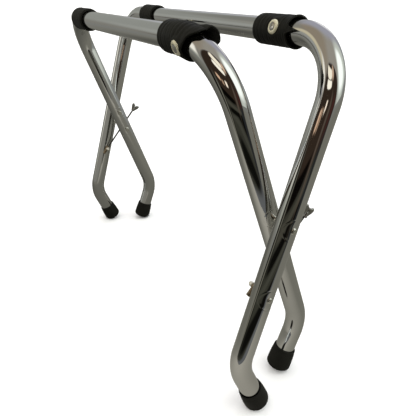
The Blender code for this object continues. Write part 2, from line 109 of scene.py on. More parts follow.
def grid_faces(rows, columns, wrap_rows, wrap_columns):
    """Quads over a grid of points that are numbered row by row."""
    row = np.arange(rows if wrap_rows else rows - 1)
    column = np.arange(columns if wrap_columns else columns - 1)
    row, column = np.meshgrid(row, column, indexing="ij")
    next_row = (row + 1) % rows
    next_column = (column + 1) % columns
    corners = [
        row * columns + column,
        row * columns + next_column,
        next_row * columns + next_column,
        next_row * columns + column,
    ]
    return np.stack(corners, -1).reshape(-1, 4)


def make_mesh(name, points, faces, sharp=35):
    mesh = bpy.data.meshes.new(name)
    mesh.from_pydata(np.asarray(points).reshape(-1, 3).tolist(), [], [list(f) for f in faces])
    mesh.update()
    mesh.shade_smooth()
    if sharp:
        mesh.set_sharp_from_angle(angle=math.radians(sharp))
    return mesh


def add_piece(name, mesh, material, body, nodes=()):
    piece = bpy.data.objects.new(name, mesh)
    bpy.context.scene.collection.objects.link(piece)
    mesh.materials.append(material)
    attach(piece, body)
    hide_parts(*nodes)


def place_points(points, place, axis, spin=0.0):
    """Points whose local +Z goes along the axis, moved to a place."""
    turn = axis.to_track_quat("Z", "Y").to_matrix() @ Matrix.Rotation(spin, 3, "Z")
    return np.asarray(points) @ np.array(turn).T + np.array(place)


def shell_mesh(name, outer, inner, split=False, sharp=35):
    """A wall between two grids of points: rows along a path, columns round it."""
    rows, columns = outer.shape[:2]
    if not split:
        points = np.concatenate([outer, inner[::-1]])
        faces = grid_faces(2 * rows, columns, True, True)
        return make_mesh(name, points, faces, sharp)
    points = np.concatenate([outer, inner[:, ::-1]], axis=1)
    faces = grid_faces(rows, 2 * columns, False, True).tolist()
    last = 2 * columns - 1
    for k in range(columns - 1):
        faces.append([k + 1, k, last - k, last - k - 1])
        end = (rows - 1) * 2 * columns
        faces.append([end + k, end + k + 1, end + last - k - 1, end + last - k])
    return make_mesh(name, points, faces, sharp)


def turned_points(profile, steps):
    """The (radius, height) points of a profile turned about Z, one row for each."""
    angle = np.arange(steps) * 2 * math.pi / steps
    profile = np.asarray(profile, float)
    radius = profile[:, 0][:, None]
    height = np.repeat(profile[:, 1][:, None], steps, axis=1)
    return np.stack([radius * np.cos(angle), radius * np.sin(angle), height], -1)


def skin_mesh(name, rows, place, axis, closed, spin=0.0, sharp=35):
    """Rings of points, from the top down the outer side. Open ends close on the axis."""
    count, steps = rows.shape[:2]
    points = rows.reshape(-1, 3)
    faces = grid_faces(count, steps, closed, True)[:, ::-1].tolist()
    if not closed:
        top = len(points)
        points = np.concatenate([points, [rows[0].mean(0)], [rows[-1].mean(0)]])
        last = (count - 1) * steps
        for k in range(steps):
            after = (k + 1) % steps
            faces.append([top, k, after])
            faces.append([top + 1, last + after, last + k])
    points = place_points(points, place, axis, spin)
    return make_mesh(name, points, faces, sharp)


def rounded(points, radius, steps=4):
    """A profile with each inner corner rounded, as far as its edges allow."""
    path = [tuple(points[0])]
    corners = [Vector(p) for p in points]
    for before, corner, after in zip(corners, corners[1:], corners[2:]):
        a = before - corner
        b = after - corner
        reach = min(radius, a.length * 0.45, b.length * 0.45)
        start = corner + a.normalized() * reach
        end = corner + b.normalized() * reach
        for k in range(steps + 1):
            t = k / steps
            point = start * (1 - t) ** 2 + corner * 2 * t * (1 - t) + end * t**2
            path.append(tuple(point))
    path.append(tuple(points[-1]))
    return path


def rounded_ring(points, radius, steps=4):
    """A closed profile with every corner rounded."""
    wrapped = [points[-1], *points, points[0]]
    return rounded(wrapped, radius, steps)[1:-1]


def smoothstep(x):
    x = np.clip(x, 0, 1)
    return x * x * (3 - 2 * x)


# Frame tubes


def filleted(corners, radii, bend_step):
    """Points along a path of straight runs and round bends."""
    path = [corners[0]]
    for before, corner, after, radius in zip(corners, corners[1:], corners[2:], radii):
        a = (before - corner).normalized()
        b = (after - corner).normalized()
        turn = math.pi - a.angle(b)
        start = corner + a * radius * math.tan(turn / 2)
        centre = corner + (a + b).normalized() * radius / math.cos(turn / 2)
        out = (start - centre).normalized()
        steps = math.ceil(turn / bend_step)
        for k in range(steps + 1):
            bend = turn * k / steps
            path.append(centre + (out * math.cos(bend) - a * math.sin(bend)) * radius)
    path.append(corners[-1])
    return path


def resampled(path, step):
    """The path with points added so that no two are further apart than a step."""
    dense = [path[0]]
    for point in path[1:]:
        start = dense[-1]
        parts = max(1, math.ceil((point - start).length / step))
        for k in range(1, parts + 1):
            dense.append(start.lerp(point, k / parts))
    return dense


def path_frames(path, outward):
    """Arrays of the path's points and of two directions across it that don't twist."""
    places = np.array([tuple(p) for p in path])
    steps = np.diff(places, axis=0)
    steps /= np.linalg.norm(steps, axis=1)[:, None]
    tangents = np.concatenate([steps[:1], steps[:-1] + steps[1:], steps[-1:]])
    tangents /= np.linalg.norm(tangents, axis=1)[:, None]
    across = []
    direction = np.array(outward, float)
    for tangent in tangents:
        direction = direction - tangent * (direction @ tangent)
        direction /= np.linalg.norm(direction)
        across.append(direction)
    across = np.array(across)
    return places, across, np.cross(tangents, across)


TUBE_SIDES = 128
MARK_REACH = 0.0116  # the ring that a tightened bolt's washer leaves round its hole
MARK_WIDTH = 0.0106
MARK_DEPTH = 0.00016
MARK_LINE = 0.055  # half-width of the ring's groove, as a share of its reach
NUT_MARK = 0.35  # depth of the groove on the nut's side, as a share of the head's
FLAT_DEPTH = 0.00020
FLAT_REACH = 0.0080
MARK_STEP = 0.0005
STRAIGHT_STEP = 0.006
BEND_STEP = math.radians(2.5)


def bolt_drops(frame_name):
    """How far below the pivot each bolt goes through a leg."""
    return (0.0, ANCHOR_DROP) if frame_name == "outer" else (0.0, GUIDE_DROP)


def press_marks(points, frame_name):
    """Presses each bolt's seat into the legs: a slight flat inside a fine round groove."""
    side = SIDES[frame_name]
    up = np.array(leg_up(side))
    across = np.cross(up, (1.0, 0.0, 0.0))
    for end in ENDS.values():
        for drop in bolt_drops(frame_name):
            local = points - np.array(on_leg(end * LEG_X[frame_name], side, drop))
            along = local @ up
            wide = local @ across
            rho = np.sqrt((along / MARK_REACH) ** 2 + (wide / MARK_WIDTH) ** 2)
            groove = np.exp(-(((rho - 1) / MARK_LINE) ** 2)) * MARK_DEPTH
            groove *= np.where(local[..., 0] * end > 0, 1.0, NUT_MARK)
            spread = np.sqrt(along**2 + wide**2) / FLAT_REACH
            press = groove + FLAT_DEPTH * smoothstep(1.25 - spread)
            near = np.abs(local[..., 0]) < 2 * TUBE_RADIUS
            points[..., 0] -= np.sign(local[..., 0]) * press * near
    return points


def leg_rows(path, frame_name):
    """The path with points added: a few on straight runs, and many beside the bolts."""
    side = SIDES[frame_name]
    dense = resampled(path, STRAIGHT_STEP)
    rows = [dense[0]]
    for start, point in zip(dense, dense[1:]):
        parts = 1
        for drop in bolt_drops(frame_name):
            end = math.copysign(1, start.x)
            bolt = on_leg(end * LEG_X[frame_name], side, drop)
            if min((start - bolt).length, (point - bolt).length) < MARK_REACH * 1.2:
                parts = math.ceil((point - start).length / MARK_STEP)
        for k in range(1, parts + 1):
            rows.append(start.lerp(point, k / parts))
    return rows


def tube_grids(frame_name):
    side = SIDES[frame_name]
    x = LEG_X[frame_name]
    tube_end = FOOT_REACH - TIP_FLOOR - GAP
    knee = on_leg(x, side, SHANK)
    right = [knee + foot_down(side) * tube_end, knee, on_leg(x, side, -ARM)]
    left = [Vector((-p.x, p.y, p.z)) for p in reversed(right)]
    radii = [KNEE_RADIUS, SHOULDER_RADIUS, SHOULDER_RADIUS, KNEE_RADIUS]
    path = leg_rows(filleted(right + left, radii, BEND_STEP), frame_name)
    places, across, beside = path_frames(path, (1, 0, 0))
    angle = np.arange(TUBE_SIDES) * 2 * math.pi / TUBE_SIDES
    ring = (
        across[:, None] * np.cos(angle)[None, :, None]
        + beside[:, None] * np.sin(angle)[None, :, None]
    )
    outer = press_marks(places[:, None] + ring * TUBE_RADIUS, frame_name)
    inner = places[:, None] + ring * (TUBE_RADIUS - TUBE_WALL)
    return outer, inner


def make_tube(frame_name, body):
    outer, inner = tube_grids(frame_name)
    name = f"{frame_name}_frame_chrome_tube"
    mesh = shell_mesh(name, outer, inner)
    add_piece(name, mesh, CHROME, body, [f"{frame_name}_frame_tube"])


# Rubber sleeves

# Start, stop and screw are places along the rail's axis, which runs on round the bend. Slit is
# in degrees round the rail, from the way the screw faces towards the outside of the bend, and
# spin turns the screw. The flared sleeve's stop only sets how many rows of points it has.
Sleeve = namedtuple("Sleeve", "start stop screw slit seed spin")
SLEEVES = {
    ("outer", "right"): Sleeve(0.152, 0.211, 0.1885, slit=180, seed=3, spin=25),
    ("outer", "left"): Sleeve(0.145, 0.193, 0.1750, slit=265, seed=5, spin=70),
    ("inner", "right"): Sleeve(0.156, 0.2175, 0.1990, slit=112, seed=8, spin=48),
    ("inner", "left"): Sleeve(0.142, 0.195, 0.1800, slit=265, seed=13, spin=10),
}
SLEEVE_COLUMNS = 160
SLEEVE_STEP = 0.0005
RIM_ROUND = 0.0010
SLIT_WIDTH = 0.0006
WRINKLE_WAVES = 6
WRINKLE_LENGTHS = (0.0034, 0.0100)
WRINKLE_HEIGHT = 0.00016
PRESS_REACH = 0.0113  # how far round its screw the washer dents a sleeve
BELL_HEIGHT = 0.0006
BELL_BORE = 0.0012
BELL_REACH = 0.0060
FLARED = ("inner", "right")  # the sleeve whose corner by the slit stands off the bend
FLARE_STOP = 0.2165  # where the corner that stands off ends
FLARE_TRIMS = [  # degrees round from the slit, and how far short of that the sleeve ends
    (0, 0.0),
    (75, 0.0),
    (112, 0.0068),
    (248, 0.0075),
    (293, 0.0050),
    (335, 0.0),
]
FLARE_REACH = 0.015
FLARE_HEIGHTS = [  # degrees round from the slit, and how far the end stands off
    (0, 0.0016),
    (16, 0.0054),
    (75, 0.0054),
    (108, 0.0),
    (200, 0.0),
    (255, 0.0014),
    (300, 0.0014),
    (340, 0.0022),
    (360, 0.0022),
]
TONGUED = ("outer", "right")  # the sleeve whose front rim runs out in a narrow tongue
TONGUE_LENGTH = 0.0140
TONGUE_MIDDLE = 177  # degrees round from the slit
TONGUE_WIDTH = 17
LIP_REACH = 0.0096  # from the screw to the fold that stands up beside its washer
LIP_WIDTH = 0.0018
LIP_HEIGHT = 0.0016
SEAT_RISES = {("inner", "right"): 0.0010}  # how far a screw's seat stands up on a thicker fold


def rail_frame(frame_name, end, along):
    """Points on the rail's axis, and the directions away from its bend."""
    along = np.asarray(along, float)[..., None]
    bend_x = LEG_X[frame_name] - SHOULDER_RADIUS
    turn = np.maximum(0.0, along - bend_x) / SHOULDER_RADIUS
    flat = np.minimum(along, bend_x)
    up = np.array(leg_up(SIDES[frame_name]))
    x_axis = np.array((end, 0.0, 0.0))
    place = np.array((0.0, 0.0, PIVOT_Z)) + x_axis * (flat + SHOULDER_RADIUS * np.sin(turn))
    place = place + up * (ARM - SHOULDER_RADIUS * (1 - np.cos(turn)))
    away = up * np.cos(turn) + x_axis * np.sin(turn)
    return place, away


def frame_normal(frame_name):
    """Normal of a frame's plane, on the side that faces -Y."""
    side = SIDES[frame_name]
    return np.array((0.0, -math.cos(HALF_ANGLE), side * math.sin(HALF_ANGLE)))


def screw_seat(frame_name, end_name):
    """The point on the rail's axis under a sleeve's screw, and the way the screw faces."""
    end = ENDS[end_name]
    place, _ = rail_frame(frame_name, end, SLEEVES[frame_name, end_name].screw)
    outward = frame_normal(frame_name) * end
    return place + outward * SEAT_RISES.get((frame_name, end_name), 0.0), outward


def ring_wrinkles(along, angle, seed):
    """Height of the creases round a sleeve, in metres."""
    rng = np.random.default_rng(seed)
    height = np.zeros(along.shape)
    for _ in range(WRINKLE_WAVES):
        length = rng.uniform(*WRINKLE_LENGTHS)
        phase = rng.uniform(0, 2 * math.pi)
        turn = rng.integers(1, 4)
        drift = rng.uniform(0, 2 * math.pi)
        sway = rng.uniform(0.3, 1.6) * np.sin(turn * angle + drift)
        wave = np.sin(along * 2 * math.pi / length + phase + sway)
        height += wave - 0.5 * wave**2
    return height * WRINKLE_HEIGHT / math.sqrt(WRINKLE_WAVES)


def eased_steps(table, turn):
    """A value that eases from each row of the table to the next, round from the slit."""
    value = np.full_like(turn, table[0][1])
    for (low, before), (high, after) in zip(table, table[1:]):
        value += (after - before) * smoothstep((np.degrees(turn) - low) / (high - low))
    return value


def sleeve_stops(frame_name, end_name, turn):
    """Where a sleeve ends, at each turn round from its slit."""
    stop = SLEEVES[frame_name, end_name].stop
    if (frame_name, end_name) == FLARED:
        return FLARE_STOP - eased_steps(FLARE_TRIMS, turn)
    if (frame_name, end_name) == TONGUED:
        aside = np.abs(np.degrees(turn) - TONGUE_MIDDLE) / TONGUE_WIDTH
        return stop + TONGUE_LENGTH * np.clip(1 - aside, 0, 1) ** 1.3
    return np.full_like(turn, stop)


def sleeve_flare(frame_name, end_name, to_end, turn):
    """How far a sleeve stands off the bend near its end, in metres."""
    bell = BELL_HEIGHT * smoothstep(1 - to_end / BELL_REACH) ** 2
    if (frame_name, end_name) != FLARED:
        return bell * np.ones_like(turn)
    return bell + smoothstep(1 - to_end / FLARE_REACH) * eased_steps(FLARE_HEIGHTS, turn)


def make_sleeve(frame_name, end_name, body):
    end = ENDS[end_name]
    sleeve = SLEEVES[frame_name, end_name]
    count = round((sleeve.stop - sleeve.start) / SLEEVE_STEP)
    half_slit = SLIT_WIDTH / SLEEVE_RADIUS / 2
    turn = np.linspace(half_slit, 2 * math.pi - half_slit, SLEEVE_COLUMNS)[None, :]
    angle = math.radians(sleeve.slit) + turn
    share = np.linspace(0, 1, count)[:, None]
    reach = sleeve_stops(frame_name, end_name, turn) - sleeve.start
    along = sleeve.start + reach * share
    to_end = along[-1:] - along
    from_slit = np.minimum(turn, 2 * math.pi - turn) * SLEEVE_RADIUS
    edge = np.minimum(np.minimum(along - sleeve.start, to_end), from_slit)
    inside = np.maximum(0.0, RIM_ROUND - edge)
    dip = RIM_ROUND - np.sqrt(np.maximum(0.0, RIM_ROUND**2 - inside**2))
    wrinkle = ring_wrinkles(along, angle + 0 * along, sleeve.seed)
    flare = sleeve_flare(frame_name, end_name, to_end, turn + 0 * along)
    bevel = BELL_BORE * smoothstep(1 - to_end / BELL_REACH)
    place, away = rail_frame(frame_name, end, along)
    normal = frame_normal(frame_name) * end
    ring = normal * np.cos(angle)[..., None] + away * np.sin(angle)[..., None]
    outer = place + ring * (SLEEVE_RADIUS - dip + wrinkle + flare)[..., None]
    inner = place + ring * (SLEEVE_BORE + dip * 0.3 + flare + bevel)[..., None]
    seat, outward = screw_seat(frame_name, end_name)
    local = outer - seat
    height = local @ outward
    spread = np.linalg.norm(local - height[..., None] * outward, axis=-1)
    press = smoothstep((PRESS_REACH - spread) / (PRESS_REACH - WASHER_RADIUS - 0.0004))
    sunk = (height - POCKET_FLOOR) * press * (height > 0)
    if (frame_name, end_name) == FLARED:
        toward = (local @ np.array((end, 0.0, 0.0))) / np.maximum(spread, 0.001)
        lip = np.exp(-(((spread - LIP_REACH) / LIP_WIDTH) ** 2)) * np.clip(toward, 0, 1)
        sunk -= LIP_HEIGHT * lip * (height > 0)
    outer -= sunk[..., None] * outward
    name = f"{frame_name}_rubber_sleeve_{end_name}"
    mesh = shell_mesh(name, outer, inner, split=True)
    add_piece(name, mesh, RUBBER, body, [f"{frame_name}_sleeve_{end_name}"])


# Cup washers and screws

WASHER_RADIUS = 0.0076
WASHER_HEIGHT = 0.0024
POCKET_FLOOR = 0.0147  # from the rail's axis to the flat under the washer
SCREW_HEAD_RADIUS = 0.0042
SCREW_CROWN = 0.0009
SCREW_FOOT = 0.0072  # from the rail's axis to the end of the screw's neck


def turned_piece(name, profile, place, axis, material, body, node, steps=64, closed=False):
    """A turned piece that stands for one CAD node."""
    mesh = skin_mesh(name, turned_points(profile, steps), place, Vector(axis), closed)
    add_piece(name, mesh, material, body, [node])


def dome(radius, height, base=0.0, steps=10):
    """A quarter ellipse, from near the axis out to its rim."""
    angle = np.linspace(0.06, math.pi / 2, steps)
    return [(radius * math.sin(a), base + height * math.cos(a)) for a in angle]


def make_sleeve_fixing(frame_name, end_name, body):
    seat, outward = screw_seat(frame_name, end_name)
    low = POCKET_FLOOR + GAP
    high = low + WASHER_HEIGHT
    cup = [
        (0.0044, high - 0.0003),
        (0.0048, high),
        (0.0056, high - 0.0001),
        (0.0067, high - 0.0006),
        (0.0073, high - 0.0014),
        (WASHER_RADIUS, low),
        (0.0072, low),
        (0.0063, low + 0.0010),
        (0.0044, low + 0.0008),
        (0.0032, low + 0.0003),
        (0.0032, low + 0.0007),
    ]
    name = f"{frame_name}_nickel_cup_washer_{end_name}"
    node = f"{frame_name}_cup_washer_{end_name}"
    cup = rounded_ring(cup, 0.0004)
    turned_piece(name, cup, seat, outward, NICKEL, body, node, 72, True)
    make_cross_screw(frame_name, end_name, body, seat, outward, high)


CROSS_REACH = 0.0023
CROSS_WIDTH = 0.00055
CROSS_DEPTH = 0.0009


def make_cross_screw(frame_name, end_name, body, seat, outward, high):
    """An oval head with a cross recess, on a tapered neck."""
    rings = 22
    share = np.linspace(1 / rings, 1, rings)
    rim = high - 0.0002
    crown = [(SCREW_HEAD_RADIUS * t, rim + SCREW_CROWN * (1 - t * t)) for t in share]
    neck = [(SCREW_HEAD_RADIUS - 0.0001, rim - 0.0003), (0.0022, rim - 0.0018)]
    neck.append((0.0020, SCREW_FOOT))
    points = turned_points(crown + neck, 96)
    x, y = points[..., 0], points[..., 1]
    arm = np.minimum(np.abs(x), np.abs(y))
    reach = np.maximum(np.abs(x), np.abs(y))
    cut = smoothstep((CROSS_WIDTH - arm) / 0.0003 + 0.5)
    cut = cut * smoothstep((CROSS_REACH - reach) / 0.0007 + 0.5)
    cut[rings:] = 0
    points[..., 2] -= cut * CROSS_DEPTH * smoothstep(1.6 - reach / CROSS_REACH)
    name = f"{frame_name}_cross_screw_{end_name}"
    spin = math.radians(SLEEVES[frame_name, end_name].spin)
    mesh = skin_mesh(name, points, seat, Vector(outward), False, spin)
    node = f"{frame_name}_sleeve_screw_{end_name}"
    add_piece(name, mesh, SCREW_STEEL, body, [node])


# Foot tips

TIP_BORE = TUBE_RADIUS + GAP
TIP_ROWS = 26
BEAD_HEIGHT = 0.0285  # up a tip to the fine line moulded round it
BEAD_WIDTH = 0.0007
BEAD_DEPTH = 0.00016


def make_tip(frame_name, end_name, body):
    side = SIDES[frame_name]
    knee = on_leg(ENDS[end_name] * LEG_X[frame_name], side, SHANK)
    place = knee + foot_down(side) * FOOT_REACH
    bulge = TIP_RADIUS - TIP_TOP_RADIUS
    profile = [(TIP_BORE + 0.0001, TIP_LENGTH - 0.0009), (TIP_BORE + 0.0005, TIP_LENGTH)]
    for k in range(TIP_ROWS):
        rise = 1 - k / TIP_ROWS
        height = TIP_DOME + (TIP_LENGTH - 0.0005 - TIP_DOME) * rise
        radius = TIP_RADIUS - bulge * rise**2.2
        line = BEAD_DEPTH * math.exp(-(((height - BEAD_HEIGHT) / BEAD_WIDTH) ** 2))
        profile.append((radius - line, height))
    for radius, height in reversed(dome(TIP_RADIUS, TIP_DOME, steps=16)):
        profile.append((radius, TIP_DOME - height))
    profile = [(TIP_BORE - 0.0003, TIP_FLOOR), (TIP_BORE, TIP_FLOOR), *profile]
    rows = turned_points(profile, 88)
    name = f"{frame_name}_rubber_foot_tip_{end_name}"
    mesh = skin_mesh(name, rows, place, -foot_down(side), False)
    for vertex in mesh.vertices:  # the worn flat on the floor
        vertex.co.z = max(0.0, vertex.co.z)
    add_piece(name, mesh, RUBBER, body, [f"{frame_name}_foot_tip_{end_name}"])


# Fasteners

BORE_EASE = 0.0003
PIVOT_BOLT = (0.0034, 0.0017, 0.0020)  # head's radius and height, and shank's radius
ANCHOR_BOLT = (0.0032, 0.0016, 0.0014)
ANCHOR_REACH = 0.0026  # how far the bolt goes into its acorn nut
ACORN_RADIUS = 0.0030
ACORN_BODY = 0.0033
ACORN_DOME = 0.0026
HEAD_SEAT = LEG_X["outer"] + TUBE_RADIUS - FLAT_DEPTH


def hex_points(radius, low, high, bore, columns=96):
    """Rows of a chamfered hexagon nut, from its bore over its top and down."""
    angle = np.arange(columns) * 2 * math.pi / columns
    flat = radius * math.cos(math.pi / 6)
    reach = flat / np.cos((angle % (math.pi / 3)) - math.pi / 6)
    bevel = (reach - flat) * 0.6 + 0.00008
    mouth = bore + BORE_EASE
    rows = [
        (bore, low + BORE_EASE),
        (bore, high - BORE_EASE),
        (mouth, high),
        (flat * 0.95, high),
        (reach * 0.995, high - bevel),
        (reach, high - bevel - 0.0001),
        (reach, low + bevel + 0.0001),
        (reach * 0.995, low + bevel),
        (flat * 0.95, low),
        (mouth, low),
    ]
    rings = [(r * np.cos(angle), r * np.sin(angle), z + 0 * angle) for r, z in rows]
    return np.stack([np.stack(ring, -1) for ring in rings])


def hex_piece(name, sizes, place, axis, body, node, spin=0.0):
    mesh = skin_mesh(name, hex_points(*sizes), place, Vector(axis), True, spin, sharp=25)
    add_piece(name, mesh, ZINC, body, [node])


def round_bolt(name, sizes, length, place, axis, node):
    """A low round head with an eased rim, on its shank."""
    head, height, shank = sizes
    rim = height * 0.3
    profile = dome(head, height - rim, rim)
    profile += [(head, rim * 0.4), (head - 0.0001, 0.0), (shank, 0.0), (shank, -length)]
    turned_piece(name, profile, place, axis, ZINC, "outer_frame", node)


def make_pivot(end_name):
    """The bolt, spacer and nut that the two frames turn on."""
    end = ENDS[end_name]
    outward = (end, 0, 0)
    nut_seat = LEG_X["inner"] - TUBE_RADIUS + FLAT_DEPTH
    length = HEAD_SEAT - nut_seat + NUT_HEIGHT + BOLT_SHOWS
    place = (end * HEAD_SEAT, 0, PIVOT_Z)
    node = f"pivot_bolt_{end_name}"
    round_bolt(f"pivot_round_bolt_{end_name}", PIVOT_BOLT, length, place, outward, node)

    half = LEG_SPACING / 2 - TUBE_RADIUS + FLAT_DEPTH - 0.0001
    ring = [(0.0029, half), (0.0031, 0.0), (0.0029, -half), (0.0022, -half), (0.0022, half)]
    ring = rounded_ring(ring, 0.0005)
    name = f"pivot_bushing_{end_name}"
    place = (end * GAP_X, 0, PIVOT_Z)
    node = f"pivot_spacer_{end_name}"
    turned_piece(name, ring, place, outward, ZINC, "outer_frame", node, 64, True)

    name = f"pivot_hex_nut_{end_name}"
    place = (end * nut_seat, 0, PIVOT_Z)
    hex_piece(name, BOLT_NUT, place, outward, "outer_frame", f"pivot_nut_{end_name}", 0.3)


def make_anchor(end_name):
    """The bolt and acorn nut that hold a stay's end barrel."""
    end = ENDS[end_name]
    anchor = ANCHOR[end_name]
    nut_seat = GAP_X - ROD_END_RADIUS - 0.0001
    length = HEAD_SEAT - nut_seat + ANCHOR_REACH
    place = (end * HEAD_SEAT, anchor.y, anchor.z)
    node = f"anchor_bolt_{end_name}"
    round_bolt(f"anchor_round_bolt_{end_name}", ANCHOR_BOLT, length, place, (end, 0, 0), node)

    bore = ANCHOR_BOLT[-1] + 0.0001
    eased = ACORN_RADIUS - 0.0003
    cap = dome(eased, ACORN_DOME, ACORN_BODY + 0.0003, 12)
    cap += [(ACORN_RADIUS, ACORN_BODY), (ACORN_RADIUS, 0.0004), (eased, 0.0)]
    cap += [(bore, 0.0), (bore, ANCHOR_REACH + 0.0001)]
    name = f"anchor_acorn_nut_{end_name}"
    place = (end * nut_seat, anchor.y, anchor.z)
    node = f"anchor_dome_nut_{end_name}"
    turned_piece(name, cap, place, (-end, 0, 0), PALE_ZINC, "outer_frame", node)


# Stays

ROD_RADIUS = 0.0016
ROD_END_RADIUS = 0.0026
ROD_PITCH = 0.0007
ROD_SIDES = 20
ROD_START = 0.0043  # from the anchor's axis
ROD_SHOWS = 0.0015  # how far it stands out of its wing nut
ROD_LENGTH = WING_START + HUB_HEIGHT + ROD_SHOWS - ROD_START
THREAD_DEPTH = 0.00022
THREAD_ROWS = 6  # in each turn of the thread
THREAD_EASE = 0.0006
BARREL_TOP = 0.0040
BARREL_FOOT = -0.0125
BARREL_BORE = 0.0010
STOP_NUT_RADIUS = 0.0031
STOP_NUT_HEIGHT = 0.0030
STOP_NUT_BORE = ROD_RADIUS + 0.0001
GUIDE_RADIUS = 0.0060
GUIDE_HALF = 0.0030  # half the thickness of its disc
GUIDE_PIN_RADIUS = 0.0020
SLOT_HALVES = (0.0020, 0.0026, 0.0110)  # half its width, height and length along the stay


def make_stay(end_name):
    anchor = ANCHOR[end_name]
    body = f"stay_{end_name}"
    rows = math.ceil(ROD_LENGTH / ROD_PITCH * THREAD_ROWS)
    height = np.linspace(0, ROD_LENGTH, rows + 1)
    angle = np.arange(ROD_SIDES) * 2 * math.pi / ROD_SIDES
    turn = height[:, None] / ROD_PITCH - angle[None, :] / (2 * math.pi)
    groove = np.abs(turn % 1 - 0.5) * 2
    ease = smoothstep(np.minimum(height, ROD_LENGTH - height) / THREAD_EASE)[:, None]
    radius = ROD_RADIUS - THREAD_DEPTH * np.maximum(groove, 1 - ease)
    level = np.repeat(height[:, None], ROD_SIDES, 1)
    points = np.stack([radius * np.cos(angle), radius * np.sin(angle), level], -1)
    name = f"threaded_stay_{end_name}"
    base = anchor + STAY * ROD_START
    mesh = skin_mesh(name, points[::-1], base, STAY, False, sharp=0)
    add_piece(name, mesh, ROD_STEEL, body, [f"stay_rod_{end_name}"])

    r = ROD_END_RADIUS
    barrel = [
        (BARREL_BORE, BARREL_TOP),
        (r * 0.80, BARREL_TOP),
        (r, BARREL_TOP - 0.0006),
        (r, BARREL_FOOT + 0.0006),
        (r * 0.86, BARREL_FOOT),
        (BARREL_BORE, BARREL_FOOT),
    ]
    barrel = rounded(barrel, 0.0005)
    name = f"stay_end_barrel_{end_name}"
    node = f"rod_end_{end_name}"
    turned_piece(name, barrel, anchor, STAY, CHROMATE, body, node, steps=48)

    low = (GUIDE[end_name] - anchor).length + GUIDE_RADIUS + GAP
    sizes = (STOP_NUT_RADIUS, low, low + STOP_NUT_HEIGHT, STOP_NUT_BORE)
    name = f"stop_hex_nut_{end_name}"
    hex_piece(name, sizes, anchor, STAY, body, f"stop_nut_{end_name}", 0.2)


def carved(name, solid, tool):
    """The solid less the tool, as a new mesh."""
    base = bpy.data.objects.new(name, solid)
    cutter = bpy.data.objects.new(f"{name}_cutter", tool)
    bpy.context.scene.collection.objects.link(base)
    bpy.context.scene.collection.objects.link(cutter)
    modifier = base.modifiers.new("cut", "BOOLEAN")
    modifier.operation = "DIFFERENCE"
    modifier.solver = "EXACT"
    modifier.object = cutter
    graph = bpy.context.evaluated_depsgraph_get()
    mesh = bpy.data.meshes.new_from_object(base.evaluated_get(graph))
    bpy.data.objects.remove(base, do_unlink=True)
    bpy.data.objects.remove(cutter, do_unlink=True)
    mesh.shade_smooth()
    mesh.set_sharp_from_angle(angle=math.radians(30))
    return mesh


def make_guide(end_name):
    """A headed pin whose disc head, between the legs, is slotted for the stay."""
    end = ENDS[end_name]
    place = GUIDE[end_name]
    nut_seat = GAP_X - LEG_X["inner"] + TUBE_RADIUS - FLAT_DEPTH
    pin = [
        (GUIDE_PIN_RADIUS, GUIDE_HALF),
        (GUIDE_RADIUS, GUIDE_HALF),
        (GUIDE_RADIUS, -GUIDE_HALF),
        (GUIDE_PIN_RADIUS, -GUIDE_HALF),
        (GUIDE_PIN_RADIUS, -nut_seat - NUT_HEIGHT - BOLT_SHOWS),
    ]
    name = f"slotted_guide_pin_{end_name}"
    rows = turned_points(rounded(pin, 0.0007, 5), 56)
    solid = skin_mesh(name, rows, place, Vector((end, 0, 0)), False)
    level = np.array((1.0, 0.0, 0.0))
    stay = np.array(STAY)
    slot = zip(SLOT_HALVES, (level, np.cross(level, stay), stay))
    wide, high, long = (half * axis for half, axis in slot)
    corners = [
        np.array(place) + wide * i + high * j + long * k
        for i in (-1, 1)
        for j in (-1, 1)
        for k in (-1, 1)
    ]
    faces = [(0, 1, 3, 2), (4, 6, 7, 5), (0, 4, 5, 1), (2, 3, 7, 6), (0, 2, 6, 4), (1, 5, 7, 3)]
    tool = make_mesh(f"{name}_tool", corners, faces)
    mesh = carved(name, solid, tool)
    body = f"guide_{end_name}"
    add_piece(name, mesh, ZINC, body, [f"guide_eye_{end_name}"])
    name = f"guide_hex_nut_{end_name}"
    place = place - Vector((end, 0, 0)) * nut_seat
    hex_piece(name, BOLT_NUT, place, (end, 0, 0), body, f"guide_nut_{end_name}", 0.15)


# Wing nuts

EAR_THICKNESS = 0.0026
EAR_MIDDLE = (0.0042, 0.0078)
EAR_ROWS = 15
EAR_LEAN = math.pi / 2 - 0.12  # of the outermost rings
EAR_OUTLINE = [  # out from the nut's axis, up from its base
    (0.0006, 0.0012),
    (0.0034, 0.0020),
    (0.0054, 0.0050),
    (0.0070, 0.0082),
    (0.0078, 0.0106),
    (0.0076, 0.0128),
    (0.0060, 0.0140),
    (0.0042, 0.0136),
    (0.0028, 0.0122),
    (0.0006, 0.0112),
]


def smooth_loop(points, per_edge=6):
    """A closed curve through the points."""
    points = np.asarray(points, float)
    loop = []
    for k in range(len(points)):
        p0, p1, p2, p3 = (points[(k + j - 1) % len(points)] for j in range(4))
        for t in np.arange(per_edge) / per_edge:
            bend = (2 * p0 - 5 * p1 + 4 * p2 - p3) * t**2
            sway = (3 * p1 - p0 - 3 * p2 + p3) * t**3
            loop.append((2 * p1 + (p2 - p0) * t + bend + sway) / 2)
    return np.array(loop)


